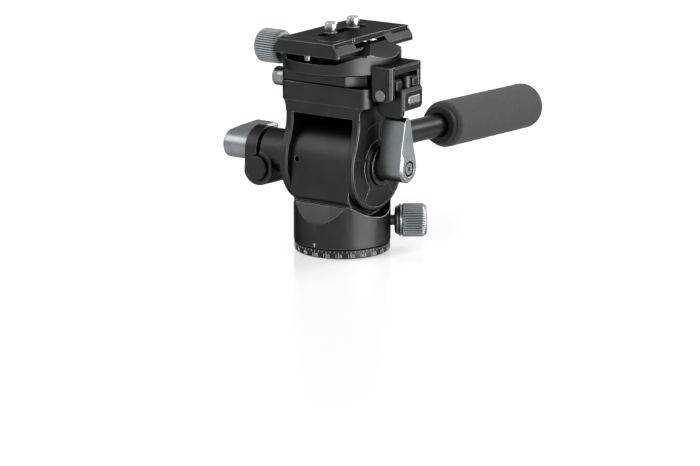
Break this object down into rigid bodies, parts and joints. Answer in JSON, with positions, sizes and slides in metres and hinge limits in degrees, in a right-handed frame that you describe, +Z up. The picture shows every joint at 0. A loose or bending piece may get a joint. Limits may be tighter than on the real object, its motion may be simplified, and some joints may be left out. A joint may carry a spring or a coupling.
{
  "type": "fluid video head",
  "caption": "Fluid video head with a dial-ringed pan base, tilting yoke, flip-over quick-release platform, screw clamp, and a long foam-gripped pan handle on a split clamp.",
  "frame": {"origin": "centre of the base ring's underside, where the tripod stud enters", "axes": "+Z up along the pan axis, +X along the tilt axis towards the tilt lever, -Y towards the front of the head, the handle running to +Y"},
  "size_m": [0.1082, 0.2762, 0.112],
  "materials": {
    "black_anodised": "fine bead-blasted black anodising on aluminium",
    "grey_anodised": "satin grey anodising on aluminium",
    "steel": "turned bright steel",
    "dark_steel": "black oxide steel",
    "bronze": "bearing bronze, as turned",
    "collar_plastic": "moulded black plastic",
    "foam": "closed-cell black foam rubber"
  },
  "bodies": {
    "base": {"base_ring": "black_anodised", "tripod_bush": "steel", "pan_spindle": "steel", "base_screw_1": "dark_steel", "base_screw_2": "dark_steel", "base_screw_3": "dark_steel", "thrust_washer": "bronze", "pan_drag_disc": "bronze", "spindle_nut": "dark_steel"},
    "pan_body": {"pan_housing": "black_anodised", "drum_bush_right": "bronze", "drum_bush_left": "bronze", "tilt_drag_plate": "steel", "counterbalance_spring": "dark_steel"},
    "pan_knob": {"pan_lock_knob": "grey_anodised", "pan_lock_screw": "dark_steel"},
    "brake_shoe": {"pan_brake_shoe": "bronze"},
    "tilt_frame": {"tilt_yoke": "black_anodised", "platform_seat": "black_anodised", "tilt_shaft": "steel", "tilt_drag_disc_1": "bronze", "tilt_drag_disc_2": "bronze", "flip_hinge_block": "black_anodised", "flip_pin": "steel", "button_spring": "steel"},
    "tilt_lever": {"tilt_lock_lever": "grey_anodised", "tilt_lock_screw": "dark_steel"},
    "handle": {"handle_clamp": "black_anodised", "handle_rod": "black_anodised", "grip_collar": "collar_plastic", "foam_grip": "foam"},
    "handle_lever": {"handle_lock_lever": "grey_anodised", "handle_lock_screw": "dark_steel"},
    "lock_plunger": {"platform_lock_knob": "grey_anodised", "platform_lock_pin": "steel"},
    "button": {"release_button": "steel"},
    "catch": {"flip_catch": "black_anodised"},
    "platform": {"flip_platform": "black_anodised"},
    "jaw": {"clamp_jaw": "black_anodised"},
    "jaw_knob": {"clamp_knob": "grey_anodised", "clamp_screw": "steel"},
    "plate": {"quick_release_plate": "black_anodised", "plate_stop_pin_front": "steel", "plate_stop_pin_rear": "steel"},
    "clip_front": {"camera_screw_clip_front": "dark_steel"},
    "clip_rear": {"camera_screw_clip_rear": "dark_steel"},
    "screw_front": {"camera_screw_front": "steel"},
    "screw_rear": {"camera_screw_rear": "steel"}
  },
  "joints": [
    {"name": "pan", "type": "hinge", "parent": "base", "child": "pan_body", "pos_m": [0, 0, 0], "axis": [0, 0, 1], "continuous": true},
    {"name": "pan_lock_turn", "type": "hinge", "parent": "pan_body", "child": "pan_knob", "pos_m": [0, 0, 0.0137], "axis": [0.8192, 0.5736, 0], "range_deg": [-180, 0]},
    {"name": "brake_shoe_slide", "type": "slide", "parent": "pan_body", "child": "brake_shoe", "axis": [-0.8192, -0.5736, 0], "range_m": [0, 0.0004]},
    {"name": "tilt", "type": "hinge", "parent": "pan_body", "child": "tilt_frame", "pos_m": [0, 0, 0.0441], "axis": [1, 0, 0], "range_deg": [-70, 90]},
    {"name": "tilt_lock_turn", "type": "hinge", "parent": "tilt_frame", "child": "tilt_lever", "pos_m": [0, 0, 0.0441], "axis": [1, 0, 0], "range_deg": [-45, 45]},
    {"name": "handle_angle", "type": "hinge", "parent": "tilt_frame", "child": "handle", "pos_m": [0, 0, 0.0441], "axis": [1, 0, 0], "range_deg": [-60, 60]},
    {"name": "handle_lock_turn", "type": "hinge", "parent": "handle", "child": "handle_lever", "pos_m": [0, 0, 0.0441], "axis": [1, 0, 0], "range_deg": [-35, 35]},
    {"name": "platform_lock_slide", "type": "slide", "parent": "tilt_frame", "child": "lock_plunger", "axis": [1, 0, 0], "range_m": [0, 0.003]},
    {"name": "release_press", "type": "slide", "parent": "tilt_frame", "child": "button", "axis": [-1, 0, 0], "range_m": [0, 0.0007], "stiffness_N_per_m": 900, "springref_m": -0.0005, "deforming": ["button_spring"]},
    {"name": "catch_slide", "type": "slide", "parent": "tilt_frame", "child": "catch", "axis": [0, 0, -1], "range_m": [0, 0.0007]},
    {"name": "platform_flip", "type": "hinge", "parent": "tilt_frame", "child": "platform", "pos_m": [0.0309, 0, 0.0808], "axis": [0, 1, 0], "range_deg": [0, 90]},
    {"name": "jaw_slide", "type": "slide", "parent": "platform", "child": "jaw", "axis": [-1, 0, 0], "range_m": [0, 0.0018]},
    {"name": "clamp_turn", "type": "hinge", "parent": "jaw", "child": "jaw_knob", "pos_m": [0, 0, 0.0953], "axis": [-1, 0, 0], "range_deg": [0, 720]},
    {"name": "plate_slide", "type": "slide", "parent": "platform", "child": "plate", "axis": [0, 1, 0], "range_m": [-0.007, 0.007]},
    {"name": "front_screw_slide", "type": "slide", "parent": "plate", "child": "clip_front", "axis": [0, 1, 0], "range_m": [-0.006, 0.0026]},
    {"name": "rear_screw_slide", "type": "slide", "parent": "plate", "child": "clip_rear", "axis": [0, 1, 0], "range_m": [-0.0026, 0.006]},
    {"name": "front_screw_turn", "type": "hinge", "parent": "clip_front", "child": "screw_front", "pos_m": [-0.0018, -0.0066, 0.1031], "axis": [0, 0, 1], "continuous": true},
    {"name": "rear_screw_turn", "type": "hinge", "parent": "clip_rear", "child": "screw_rear", "pos_m": [-0.0018, 0.012, 0.1031], "axis": [0, 0, 1], "continuous": true}
  ],
  "couplings": [
    {"joint": "pan_lock_turn", "follows": "brake_shoe_slide", "rad_per_m": -7853},
    {"joint": "catch_slide", "follows": "release_press", "ratio": 1},
    {"joint": "clamp_turn", "follows": "jaw_slide", "rad_per_m": 6981}
  ]
}
